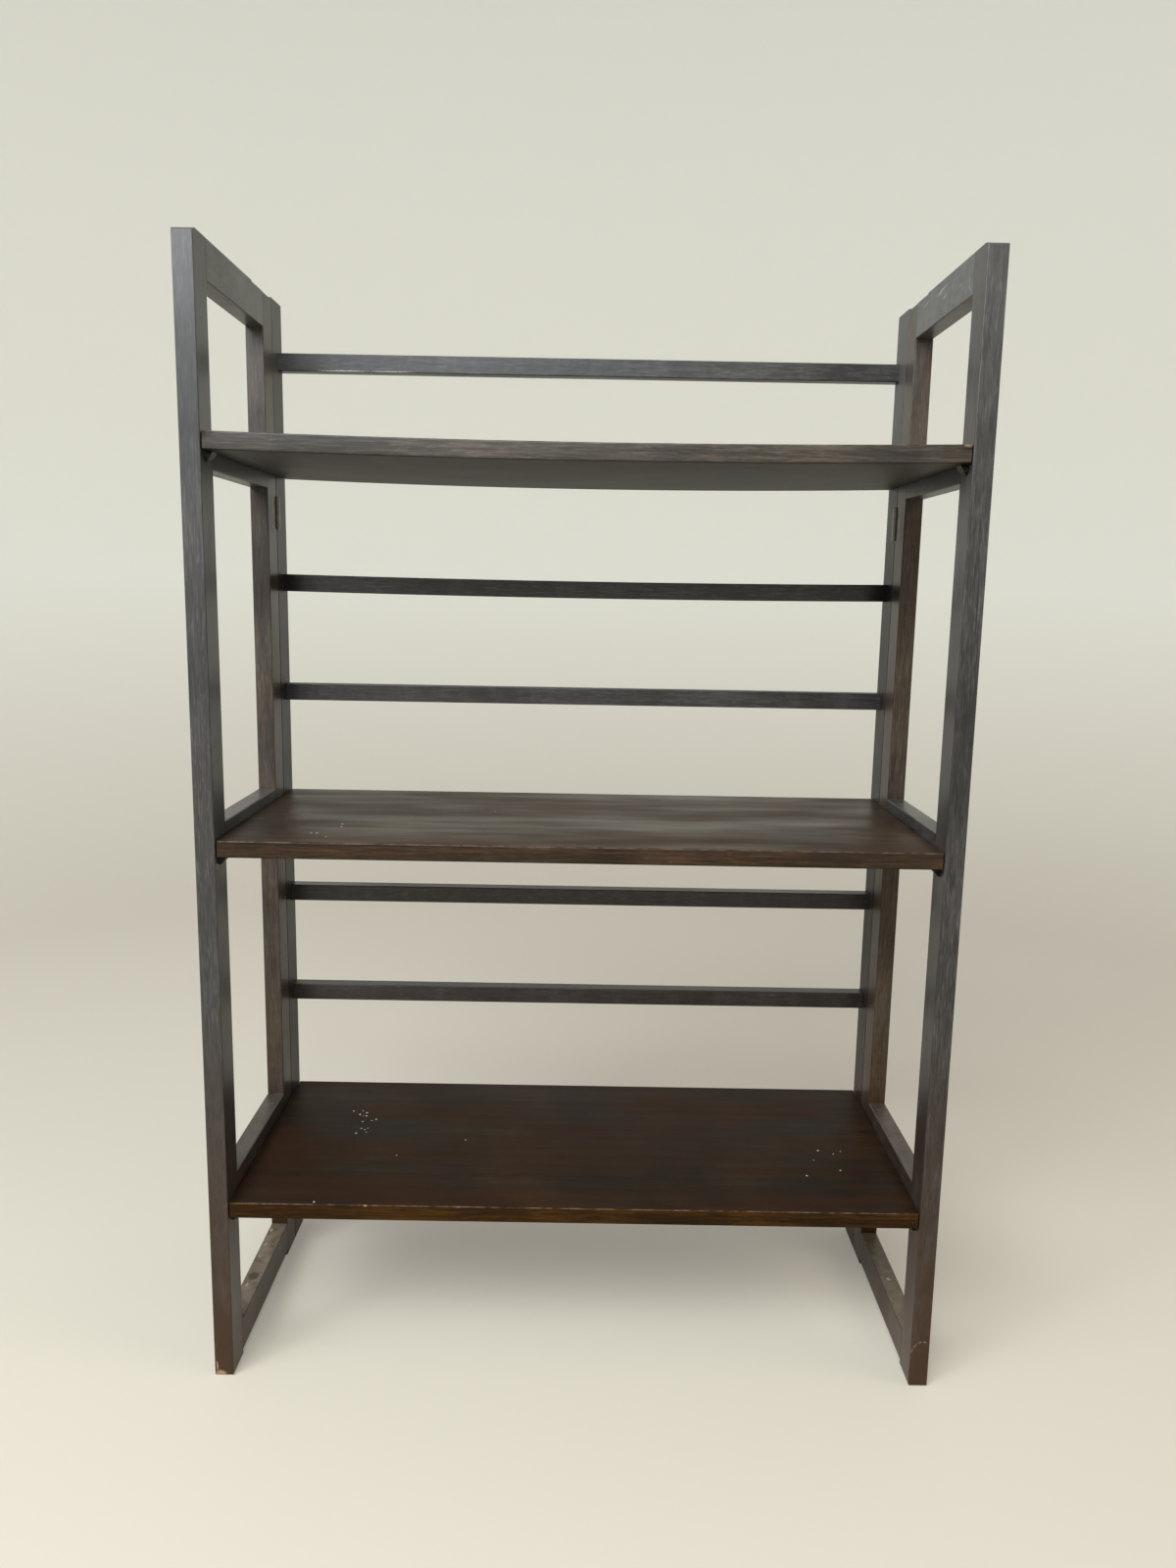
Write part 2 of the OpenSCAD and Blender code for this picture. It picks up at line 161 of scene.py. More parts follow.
# %% Masks
def where(tree, *limits):
    """A mask that is 1 where every value has passed its second limit, and 0 before its first."""
    mask = 1.0
    for value, first, second in limits:
        passed = add(tree, "ShaderNodeMapRange", Value=value, From_Min=first, From_Max=second).outputs[0]
        mask = add(tree, "ShaderNodeMath", {"operation": "MULTIPLY"}, i0=mask, i1=passed).outputs[0]
    return mask


def seen_directly(tree):
    """A mask that is 1 for what the camera, a shiny face or a pane shows, and 0 for bounced light."""
    rays = add(tree, "ShaderNodeLightPath").outputs
    seen = add(tree, "ShaderNodeMath", {"operation": "MAXIMUM"},
               i0=rays["Is Camera Ray"], i1=rays["Is Glossy Ray"]).outputs[0]
    return add(tree, "ShaderNodeMath", {"operation": "MAXIMUM"},
               i0=seen, i1=rays["Is Transmission Ray"]).outputs[0]


# %% [markdown]
# ## The studio
# The object stands on a plain pale floor that rises in one soft curve to a plain pale wall, as the
# paper roll of a photo studio does, but all the way round, because the shelf is looked at from every
# side. The outline of half its section is drawn once and spun about the upright axis.

# %% Floor and backdrop
FLOOR_RADIUS = 2.0
CURVE_RADIUS = 1.6
WALL_HEIGHT = 4.2
CURVE_STEPS = 16
TURN_STEPS = 96
SEAM = 1e-5    # points that are closer than this, in metres, are joined where the turn closes

bm = bmesh.new()
middle = bm.verts.new((0, 0, 0))
edge_of_floor = bm.verts.new((FLOOR_RADIUS, 0, 0))
bm.edges.new((middle, edge_of_floor))
curve = bmesh.ops.spin(
    bm, geom=[edge_of_floor], cent=(FLOOR_RADIUS, 0, CURVE_RADIUS), axis=(0, -1, 0),
    angle=math.radians(90), steps=CURVE_STEPS,
)
foot_of_wall = [v for v in curve["geom_last"] if isinstance(v, bmesh.types.BMVert)]
wall = bmesh.ops.extrude_vert_indiv(bm, verts=foot_of_wall)
bmesh.ops.translate(bm, verts=wall["verts"], vec=(0, 0, WALL_HEIGHT - CURVE_RADIUS))
bmesh.ops.spin(
    bm, geom=bm.verts[:] + bm.edges[:], cent=(0, 0, 0), axis=(0, 0, 1),
    angle=math.radians(360), steps=TURN_STEPS, use_merge=True,
)
bmesh.ops.remove_doubles(bm, verts=bm.verts[:], dist=SEAM)
bmesh.ops.recalc_face_normals(bm, faces=bm.faces[:])
for face in bm.faces:
    face.smooth = True

backdrop_mesh = bpy.data.meshes.new("studio_backdrop")
bm.to_mesh(backdrop_mesh)
bm.free()
backdrop = bpy.data.objects.new("studio_backdrop", backdrop_mesh)
bpy.context.scene.collection.objects.link(backdrop)
print("backdrop faces:", len(backdrop_mesh.polygons))

# %% [markdown]
# The paper is warm where it lies and cooler up the wall. Whatever looks at it, straight or in a shiny
# face, sees it pale, with a little light of its own. What it bounces is the light of a darker and warmer
# paper, and that keeps the undersides of the boards as dark and as brown as they are on the real one.

# %% Paper
COOL_HEIGHT = 0.9    # metres; from here up the paper is at its coolest
OWN_LIGHT = 0.22

paper, tree, output = empty_material("matt_backdrop_paper")
seen = seen_directly(tree)
place = add(tree, "ShaderNodeTexCoord").outputs["Object"]
height = add(tree, "ShaderNodeSeparateXYZ", Vector=place).outputs["Z"]
up_the_wall = where(tree, (height, 0.0, COOL_HEIGHT))
bounced = add(tree, "ShaderNodeMix", {"data_type": "RGBA"},
              i0=up_the_wall, i6=linear("#A49074"), i7=linear("#BDC0C2")).outputs[2]
pale = add(tree, "ShaderNodeMix", {"data_type": "RGBA"},
           i0=up_the_wall, i6=linear("#BEB5A3"), i7=linear("#E1DFD2")).outputs[2]
paper_colour = add(tree, "ShaderNodeMix", {"data_type": "RGBA"}, i0=seen, i6=bounced, i7=pale).outputs[2]
lift = add(tree, "ShaderNodeMath", {"operation": "MULTIPLY"}, i0=seen, i1=OWN_LIGHT).outputs[0]
matt = add(tree, "ShaderNodeBsdfPrincipled", Base_Color=paper_colour, Roughness=0.95,
           Emission_Color=linear("#F4EFE2"), Emission_Strength=lift)
tree.links.new(matt.outputs[0], output.inputs["Surface"])
backdrop_mesh.materials.append(paper)
print("the backdrop is of", paper.name)

# %% [markdown]
# ## Lights
# The real shelf stands in a room with a large window behind the camera, high and to the left. A soft
# panel in that place gives the same pale sheen on the lacquer near the top, and leaves the slats that
# lie under a shelf in its shade. Two weaker panels at the sides keep the shadows open.

# %% Lights
AIM = Vector((0, 0, 0.75))    # above the middle shelf, so that every panel faces the whole object


def soft_panel(name, place, width, height, watts, colour):
    """A rectangular soft light that faces the shelf and isn't seen by the camera."""
    data = bpy.data.lights.new(name, "AREA")
    data.shape = "RECTANGLE"
    data.size = width
    data.size_y = height
    data.energy = watts
    data.color = linear(colour)[:3]
    lamp = bpy.data.objects.new(name, data)
    bpy.context.scene.collection.objects.link(lamp)
    lamp.location = place
    lamp.rotation_euler = (AIM - Vector(place)).to_track_quat("-Z", "Y").to_euler()
    lamp.visible_camera = False
    print(name, "gives", watts, "W from", round((AIM - Vector(place)).length, 2), "m away")


soft_panel("window_panel", (-1.0, -2.3, 2.5), 2.8, 1.3, 145, "#E9F1F6")
soft_panel("left_panel", (-2.1, -1.4, 2.1), 1.2, 1.4, 26, "#DDE5FB")
soft_panel("right_panel", (2.3, -0.9, 2.3), 1.2, 1.4, 14, "#FBF4DA")

# %% [markdown]
# An even world stands for the light that comes off the rest of the room. Where it is looked at, past the
# rim of the wall in a view from below, it is as pale as the wall itself.

# %% World
ROOM_LIGHT = 0.36
ROOM_SEEN = 0.80

world = bpy.data.worlds.new("soft_room")
world.use_nodes = True
sky = world.node_tree.nodes["Background"]
sky.inputs["Color"].default_value = linear("#F2F1EE")
brightness = add(world.node_tree, "ShaderNodeMapRange", Value=seen_directly(world.node_tree),
                 To_Min=ROOM_LIGHT, To_Max=ROOM_SEEN).outputs[0]
world.node_tree.links.new(brightness, sky.inputs["Strength"])
bpy.context.scene.world = world
bpy.context.scene.view_settings.view_transform = "Standard"
print("the world lights with", ROOM_LIGHT, "and is seen at", ROOM_SEEN)

# %% [markdown]
# ## Marks
# Chips, knots and scratches each sit in one known place. A Mapping node of the texture kind turns space
# round into the mark's own little ellipsoid, whose edge is at a length of 1, so a mark needs only its
# centre, its half sizes and its turn, and it never shows anywhere else. A scratch is a thin ellipsoid
# between two points. Real marks have ragged outlines, so noise shifts the place a little first.


# %% Marks by place
RAG_MM = 3               # how large the teeth of a ragged outline are
RAG_REACH_MM = 2.4       # how far the noise can shift an outline
MARK_RIM = (1.0, 0.6)    # a mark begins at its edge and is full at this share of its size


def ragged(tree, place):
    """The place, shifted by noise, so that the outline of a mark breaks up."""
    colours = add(tree, "ShaderNodeTexNoise", Vector=place, Scale=1000 / RAG_MM,
                  Detail=3.0, Roughness=0.6).outputs[1]
    middle = add(tree, "ShaderNodeVectorMath", {"operation": "SUBTRACT"},
                 i0=colours, i1=(0.5, 0.5, 0.5)).outputs[0]
    shift = add(tree, "ShaderNodeVectorMath", {"operation": "SCALE"},
                i0=middle, Scale=RAG_REACH_MM * MM).outputs[0]
    return add(tree, "ShaderNodeVectorMath", {"operation": "ADD"}, i0=place, i1=shift).outputs[0]


def blot(hex_colour, centre, half_sizes):
    """A mark round a centre, in millimetres."""
    return hex_colour, centre, half_sizes, (0, 0, 0)


def scratch(hex_colour, start, end, width):
    """A thin mark from one point to another, in millimetres."""
    along = Vector(end) - Vector(start)
    centre = (Vector(end) + Vector(start)) / 2
    turn = along.to_track_quat("X", "Z").to_euler()
    return hex_colour, tuple(centre), (along.length / 2, width / 2, width / 2), tuple(turn)


def paint_over(tree, colour, mask, hex_colour, strength=1.0):
    """Lays one more colour over a colour where a mask says so."""
    amount = add(tree, "ShaderNodeMath", {"operation": "MULTIPLY", "use_clamp": True},
                 i0=mask, i1=strength).outputs[0]
    return add(tree, "ShaderNodeMix", {"data_type": "RGBA"},
               i0=amount, i6=colour, i7=linear(hex_colour)).outputs[2]


def add_marks(tree, place, colour, marks, strength=0.85):
    """Lays every mark of a list over a colour."""
    rough_place = ragged(tree, place)
    for hex_colour, centre, half_sizes, turn in marks:
        own = add(
            tree, "ShaderNodeMapping", {"vector_type": "TEXTURE"}, Vector=rough_place,
            Location=[c * MM for c in centre], Rotation=turn, Scale=[h * MM for h in half_sizes],
        ).outputs[0]
        out = add(tree, "ShaderNodeVectorMath", {"operation": "LENGTH"}, i0=own).outputs["Value"]
        colour = paint_over(tree, colour, where(tree, (out, *MARK_RIM)), hex_colour, strength)
    return colour


# %% [markdown]
# ## Stained and lacquered wood
# The bars and boards are a plain hardwood, stained dark brown and sprayed with a semi-gloss lacquer.
# The stain leaves soft dark and light streaks along the grain, because early wood drinks more of it,
# and open pores show as short dark dashes. Dry places in the lacquer show as short pale flecks. Solid
# noise that is stretched along the grain does this with no seam at a corner, and shows end grain where
# a bar is cut. The grain runs along Z in a post, along Y in a rail and along X in a slat or a shelf.

# %% Sizes of the grain
STRETCH = 0.045    # a streak is about twenty times as long as it is wide
STREAK_MM = 1.6    # real streaks are 0.5 mm wide; drawn coarser so that they show
BAND_MM = 9        # the darker and lighter growth bands
CLOUD_MM = 110     # uneven stain
PORE_MM = 1.1      # real pores are 0.2 mm wide; drawn coarser too
FLECK_MM = 1.5     # dry flecks in the lacquer, about ten times as long as they are wide
RING_MM = 24       # how far apart growth rings surface on a flat-sawn board
WAVE_TURN = 20     # a wave texture turns by this many radians in one unit of its scale
GRAIN = {"X": (STRETCH, 1, 1), "Y": (1, STRETCH, 1), "Z": (1, 1, STRETCH)}
STREAK_SHARE = 0.56    # of the tone, less half of what the bands take
CLOUD_SHARE = 0.44


# %% Tone of the grain
def grain_tone(tree, along, clouds, band, rings):
    """Streaks, bands and clouds in one value near 0.5, with growth rings where they are asked for."""
    streaks = add(tree, "ShaderNodeTexNoise", Vector=along, Scale=1000 / STREAK_MM,
                  Detail=4.0, Roughness=0.6, Distortion=0.2).outputs[0]
    bands = add(tree, "ShaderNodeTexNoise", Vector=along, Scale=1000 / BAND_MM,
                Detail=2.0, Roughness=0.5, Distortion=0.6).outputs[0]
    tone = 0
    shares = ((streaks, STREAK_SHARE - band / 2), (bands, band), (clouds, CLOUD_SHARE - band / 2))
    for value, weight in shares:
        tone = add(tree, "ShaderNodeMath", {"operation": "MULTIPLY_ADD"},
                   i0=value, i1=weight, i2=tone).outputs[0]
    if rings:
        ring_scale = 2 * math.pi / (WAVE_TURN * RING_MM * MM)
        figure = add(tree, "ShaderNodeTexWave", {"bands_direction": "Y"}, Vector=along,
                     Scale=ring_scale, Distortion=7.0, Detail=2.0, Detail_Scale=0.6).outputs[1]
        tone = add(tree, "ShaderNodeMath", {"operation": "MULTIPLY_ADD"},
                   i0=figure, i1=rings, i2=tone).outputs[0]
        tone = add(tree, "ShaderNodeMath", {"operation": "SUBTRACT"}, i0=tone, i1=rings / 2).outputs[0]
    return tone


# %% [markdown]
# The tone picks a stain out of three: the darkest, the middle and the lightest one of the wood. Pores
# are laid over it in the darkest, and dry flecks in a pale grey, more of them where the clouds are light.


# %% Grain
WORN = "#86725C"    # wood whose stain is rubbed thin
BARE = "#B08F68"    # wood that has lost its stain
DRY = "#857F7C"     # dry lacquer, scuffs and a film of dust
DARKEST_AT, MIDDLE_AT, LIGHTEST_AT = 0.38, 0.50, 0.64
OPEN_PORES = (0.60, 0.68)
DRY_FLECKS = (0.52, 0.68)
LIGHT_CLOUDS = (0.2, 0.65)
FLECK_STRETCH = 0.1


def grain(tree, place, axis, tones, band=0.14, rings=0.0, flecks=0.24):
    """The stained colour, the tone behind it, which relief reuses, and the clouds for the roughness."""
    along = add(tree, "ShaderNodeMapping", Vector=place, Scale=GRAIN[axis]).outputs[0]
    clouds = add(tree, "ShaderNodeTexNoise", Vector=place, Scale=1000 / CLOUD_MM,
                 Detail=2.0, Roughness=0.5).outputs[0]
    tone = grain_tone(tree, along, clouds, band, rings)
    stain = add(tree, "ShaderNodeValToRGB", Fac=tone)
    stops = stain.color_ramp.elements
    stops[0].position, stops[0].color = DARKEST_AT, linear(tones[0])
    stops[1].position, stops[1].color = LIGHTEST_AT, linear(tones[2])
    centre = stops.new(MIDDLE_AT)
    centre.color = linear(tones[1])
    pores = add(tree, "ShaderNodeTexNoise", Vector=along, Scale=1000 / PORE_MM,
                Detail=1.0, Roughness=0.5).outputs[0]
    colour = paint_over(tree, stain.outputs[0], where(tree, (pores, *OPEN_PORES)), tones[0], strength=0.5)
    short = add(tree, "ShaderNodeMapping", Vector=along, Location=(3, 5, 7),
                Scale=[FLECK_STRETCH / s if s < 1 else 1 for s in GRAIN[axis]]).outputs[0]
    dry = add(tree, "ShaderNodeTexNoise", Vector=short, Scale=1000 / FLECK_MM,
              Detail=3.0, Roughness=0.6).outputs[0]
    dry_places = where(tree, (dry, *DRY_FLECKS), (clouds, *LIGHT_CLOUDS))
    return paint_over(tree, colour, dry_places, DRY, flecks), tone, clouds


# %% [markdown]
# Hands and books rub the corners first. The Bevel node bends the surface direction near an edge, so
# where the bent direction differs from the true one there is an edge, on any piece, and noise breaks
# the line into the short pale dashes that a knock leaves.


# %% Rubbed edges and scuffs
KNOCK_MM = 29              # from one knocked stretch of an edge to the next
SCUFF_MM = 24              # how wide a cloud of scuffs is
AN_EDGE = (0.985, 0.82)    # how alike the bent and the true direction still are at an edge
A_SCUFF = (0.50, 0.75)


def rubbed_edges(tree, place, reach_mm, least, most):
    """A broken-up mask along the sharp edges; least and most are the noise levels between which it wakes."""
    bent = add(tree, "ShaderNodeBevel", {"samples": 6}, Radius=reach_mm * MM).outputs[0]
    true_direction = add(tree, "ShaderNodeNewGeometry").outputs["True Normal"]
    likeness = add(tree, "ShaderNodeVectorMath", {"operation": "DOT_PRODUCT"},
                   i0=bent, i1=true_direction).outputs["Value"]
    knocks = add(tree, "ShaderNodeTexNoise", Vector=place, Scale=1000 / KNOCK_MM,
                 Detail=5.0, Roughness=0.7).outputs[0]
    return where(tree, (likeness, *AN_EDGE), (knocks, least, most))


def haze(tree, colour, place, strength):
    """Lays faint pale scuffs and dust over a colour, as cloudy strokes."""
    tilted = add(tree, "ShaderNodeMapping", Vector=place, Rotation=(0.6, 0.4, 0.2),
                 Scale=(1, 1, 0.3)).outputs[0]
    strokes = add(tree, "ShaderNodeTexNoise", Vector=tilted, Scale=1000 / SCUFF_MM,
                  Detail=6.0, Roughness=0.72).outputs[0]
    return paint_over(tree, colour, where(tree, (strokes, *A_SCUFF)), DRY, strength)


# %% Lacquer over everything
def lacquered(tree, output, colour, roughness, relief_height, shine, depth=0.3):
    """Semi-gloss lacquer: the shine is Blender's specular level, 0.5 being an IOR of 1.5."""
    relief = add(tree, "ShaderNodeBump", Height=relief_height, Strength=depth, Distance=0.0003).outputs[0]
    surface = add(
        tree, "ShaderNodeBsdfPrincipled", Base_Color=colour, Roughness=roughness, IOR=1.5,
        Specular_IOR_Level=shine, Normal=relief,
    )
    tree.links.new(surface.outputs[0], output.inputs["Surface"])


# %% [markdown]
# ## The bars
# The same finish is made for each way that the grain runs, and height and side add painted light to it.
# Toward the top more and more painted grey sheen is laid over the stain, and a little more on the left,
# where the window is. Near the floor the bars are painted redder, for the warm light bounced off the
# floor. Each pair is two places in metres: at the first one nothing has changed yet, and at the second
# one all has.

# %% Colours of the bars
NEUTRAL = ("#161413", "#292624", "#403D3B")
SHADED_BROWN = ("#1D150D", "#372B1F", "#514231")    # painted shade: the back posts, in browner tones for the less light and sheen that reach them
# painted shade: darker tones for the pegs, which sit under the boards
SHADED_PEG_TONES = ("#100D0A", "#1B1713", "#28231E")
# partly painted sheen, partly scuffs: the grey laid toward the top of the bars and round the top rails
SHEEN_AND_SCUFF_GREY = "#8A8B88"
# painted sheen from the window, laid on the left
WINDOW_SHEEN_GREY = "#8A8B8C"
# painted warm light bounced off the floor: the red laid over the stain near it
BOUNCE_RED = "#361E06"
UPWARD_SHEEN = (0.9, 1.2)
LEFTWARD_SHEEN = (0.2, -0.35)
DOWNWARD_BOUNCE_RED = (0.45, 0.0)
print("bars fade from", UPWARD_SHEEN[0], "m up and redden from", DOWNWARD_BOUNCE_RED[0], "m down")

# %% [markdown]
# The rails are paler than the other bars in three places. The top rails are greyed all round, partly
# as scuffs from hands and partly as a painted sheen. Dust stays on the upper faces of all the rails. Feet
# have scuffed the upper faces of the floor rails most of all, the left one more than the right one.


# %% Dust on the rails
DUST_MM = 14                    # how wide a dusty stroke is
A_STROKE = (0.22, 0.65)
LOOKS_UP = (0.7, 0.95)          # how far the surface is turned up
TOP_RAIL = (1.171, 1.172)       # metres; from here up
FLOOR_RAIL = (0.049, 0.046)     # metres; from here down
MORE_ON_LEFT = (1.4, -0.2)      # reaches past the right rail, so some of it shows there too
DUST = "#7E7468"
SCUFFED = "#94846C"


def rail_dust_and_sheen(tree, colour, place, across, height, upward):
    """Lays dust and scuffs over a rail's colour, in cloudy strokes, and a painted sheen on the top rails."""
    dust = add(tree, "ShaderNodeTexNoise", Vector=place, Scale=1000 / DUST_MM,
               Detail=5.0, Roughness=0.7).outputs[0]
    strokes = (dust, *A_STROKE)
    on_top = (upward, *LOOKS_UP)
    # partly scuffs, partly painted sheen: the grey laid all round the top rails
    sheen_and_scuffs = where(tree, strokes, (height, *TOP_RAIL))
    colour = paint_over(tree, colour, sheen_and_scuffs, SHEEN_AND_SCUFF_GREY, strength=0.34)
    colour = paint_over(tree, colour, where(tree, strokes, on_top), DUST, strength=0.22)
    scuffed = where(tree, strokes, on_top, (height, *FLOOR_RAIL), (across, *MORE_ON_LEFT))
    return paint_over(tree, colour, scuffed, SCUFFED, strength=0.65)


# %% Bar finish
def frame_wood(name, axis, tones, shine=0.44, marks=(), top_sheen=0.09, scuffs=0.12):
    """The finish of the bars: dark, rather neutral, with a soft sheen."""
    material, tree, output = empty_material(name)
    source = add(tree, "ShaderNodeTexCoord").outputs
    place = source["Object"]
    colour, tone, clouds = grain(tree, place, axis, tones)
    across, _, height = add(tree, "ShaderNodeSeparateXYZ", Vector=place).outputs
    # painted sheen: grey laid over the stain toward the top, and a little more on the left, by the window
    colour = paint_over(tree, colour, where(tree, (height, *UPWARD_SHEEN)), SHEEN_AND_SCUFF_GREY, top_sheen)
    window_sheen_side = where(tree, (across, *LEFTWARD_SHEEN))
    colour = paint_over(tree, colour, window_sheen_side, WINDOW_SHEEN_GREY, strength=0.05)
    # painted warm bounce: the stain is made redder toward the floor
    colour = paint_over(tree, colour, where(tree, (height, *DOWNWARD_BOUNCE_RED)), BOUNCE_RED)
    colour = haze(tree, colour, place, scuffs)
    if axis == "Y":
        upward = add(tree, "ShaderNodeSeparateXYZ", Vector=source["Normal"]).outputs["Z"]
        colour = rail_dust_and_sheen(tree, colour, place, across, height, upward)
    edges = rubbed_edges(tree, place, reach_mm=2.0, least=0.52, most=0.70)
    colour = paint_over(tree, colour, edges, WORN, strength=0.6)
    colour = add_marks(tree, place, colour, marks)
    dull = add(tree, "ShaderNodeMapRange", Value=clouds,
               From_Min=0.3, From_Max=0.7, To_Min=0.32, To_Max=0.44).outputs[0]
    lacquered(tree, output, colour, dull, tone, shine)
    return material


# %% [markdown]
# The marks are the ones that the real bars show: a chip at the left front foot, a crack round a knot at
# the right one, with a painted highlight on its upper rim, a scratch beside each end of the bottom board,
# scratches across the inner face of the right top rail, worn chips on the floor rails, and a pale line
# along the lower front corner of the top slat, partly rubbed wear and partly a painted highlight.

# %% Marks on the posts
FRONT = -162      # the front face of the posts, in mm
HIGHLIT_RIM = 39     # in mm; the crack is dark below this height and has a painted highlight along its rim above it
CRACK = [(379.9, 14.7), (378.5, 29.7), (379, 40), (381.2, 47.6), (386.2, 53.3), (391.5, 55.3), (397, 54.6)]
POST_MARKS = [
    blot(BARE, (-393.5, FRONT, 0), (8, 3, 8)),
    blot(BARE, (-397, FRONT, 12), (1.0, 2, 7)),
    scratch("#A3917D", (-379.5, FRONT, 204), (-379.5, FRONT, 210), 1.0),
    scratch("#A3917D", (379, -104, 209), (379, -128, 211), 1.2),
]
for (x0, z0), (x1, z1) in zip(CRACK, CRACK[1:]):
    # painted highlight on the crack's upper rim; below it the open crack is dark
    crack_colour = "#957C5C" if z0 > HIGHLIT_RIM else "#0E0906"
    POST_MARKS.append(scratch(crack_colour, (x0, FRONT, z0), (x1, FRONT, z1), 1.2))
print("marks on the posts:", len(POST_MARKS))

# %% Marks on the rails and the slats
INNER_FACE = 379    # of the right side frame, in mm

RAIL_SCRATCHES = [
    ((-36, 1204), (-3, 1201.6)), ((-56, 1199), (-52, 1194)), ((-83, 1194), (-79, 1189)),
    ((-113, 1193), (-112, 1185)), ((-20, 1201.5), (2, 1199)), ((-35, 1195), (-22, 1191)),
    ((-112, 1185), (-116, 1177)), ((30, 1203.5), (53, 1199)),
]
RAIL_MARKS = [
    scratch("#B5AFA6", (INNER_FACE, *start), (INNER_FACE, *end), 1.5) for start, end in RAIL_SCRATCHES
]
RAIL_MARKS += [
    blot(BARE, (-396, 63, 44.5), (2.4, 5, 1.5)),
    blot(BARE, (-394.5, 30, 44.5), (1.8, 4, 1.5)),
    blot(BARE, (-394.6, 3, 44.5), (1.6, 3, 1.5)),
    blot("#2A1C12", (-390, -40, 44.5), (8, 10, 1.5)),
    blot("#A89C8A", (-393, -58, 44.5), (2, 5, 1.5)),
    blot("#A89C8A", (389, -25, 44.5), (2.5, 4, 1.5)),
]
# partly wear, partly painted highlight: pale lines along the lower front corner of the top slat
SLAT_WEAR_AND_HIGHLIGHT = [
    scratch("#BDBAB4", (-338, 143, 1135.2), (-262, 143, 1135.2), 1.7),
    scratch("#A7A49E", (-275, 143, 1135.2), (-208, 143, 1135.2), 1.5),
]
print("marks on the rails:", len(RAIL_MARKS), "and on the slats:", len(SLAT_WEAR_AND_HIGHLIGHT))

# %% [markdown]
# One finish for each kind of bar. The front posts and the slats shine most, because they face the
# window. The stiles and the pegs hardly shine: they lie in the shade of the side frames and the boards,
# where the lacquer has little to mirror. The pegs also take darker tones than the other bars, as painted
# shade, and the stiles take the most painted grey sheen at the top.

# %% Bar finishes
post_wood = frame_wood("stained_beech_lacquered_upright", "Z", NEUTRAL, marks=POST_MARKS)
back_post_wood = frame_wood("stained_beech_lacquered_back_post", "Z", SHADED_BROWN, shine=0.3)
stile_wood = frame_wood("stained_beech_lacquered_stile", "Z", NEUTRAL, shine=0.12, top_sheen=0.3)
rail_wood = frame_wood("stained_beech_lacquered_rail", "Y", NEUTRAL, 0.36, RAIL_MARKS, scuffs=0.20)
slat_wood = frame_wood("stained_beech_lacquered_slat", "X", NEUTRAL, marks=SLAT_WEAR_AND_HIGHLIGHT, top_sheen=0.0)
peg_wood = frame_wood("stained_beech_turned_peg", "X", SHADED_PEG_TONES, shine=0.1, top_sheen=0.0, scuffs=0.04)
for bar_finish in (post_wood, back_post_wood, stile_wood, rail_wood, slat_wood, peg_wood):
    print(bar_finish.name, "has", len(bar_finish.node_tree.nodes), "nodes")

# %% [markdown]
# ## The boards
# The boards are redder than the bars. They are one wood in three tones, each painted for the light that
# board gets: the top one grey-brown, as a painted sheen, the middle one plain brown and the bottom one
# red-brown, as painted warm light bounced off the floor, and nearly matt. Their long front edge is a
# strip of solid wood, lighter than the face. Growth rings show faintly, as long pointed figures.
#
# The object-space direction of the surface tells top, edge and underside apart, and goes with the board
# when it swings up. It is near 1 or -1 on a flat face, and part of the way there on the rounded corner
# between two faces. The lower corner of the front edge lies in shade, and the upper one is worn in dashes.


# %% Front corners of a board
FLAT_PLUS = (0.5, 0.9)
FLAT_MINUS = (-0.4, -0.8)
CORNER_PLUS = (0.2, 0.5)
CORNER_MINUS = (-0.2, -0.5)
CHIP_MM = 12    # from one worn dash of the upper corner to the next
A_CHIP = (0.42, 0.60)
SHADED = "#0C0705"


def front_corners(tree, colour, place, facing):
    """Darkens the lower corner of the front edge and wears the upper one."""
    forward = (facing["Y"], *CORNER_MINUS)
    lower = where(tree, forward, (facing["Z"], *CORNER_MINUS))
    colour = paint_over(tree, colour, lower, SHADED, strength=0.6)
    chips = add(tree, "ShaderNodeTexNoise", Vector=place, Scale=1000 / CHIP_MM,
                Detail=4.0, Roughness=0.65).outputs[0]
    upper = where(tree, forward, (facing["Z"], *CORNER_PLUS), (chips, *A_CHIP))
    return paint_over(tree, colour, upper, WORN, strength=0.4)


# %% Board finish
PATCH_MM = 55           # how deep a redder patch is
PATCH_STRETCH = 0.22    # it is four to five times as long
A_PATCH = (0.42, 0.62)
REDDER = "#3E200C"


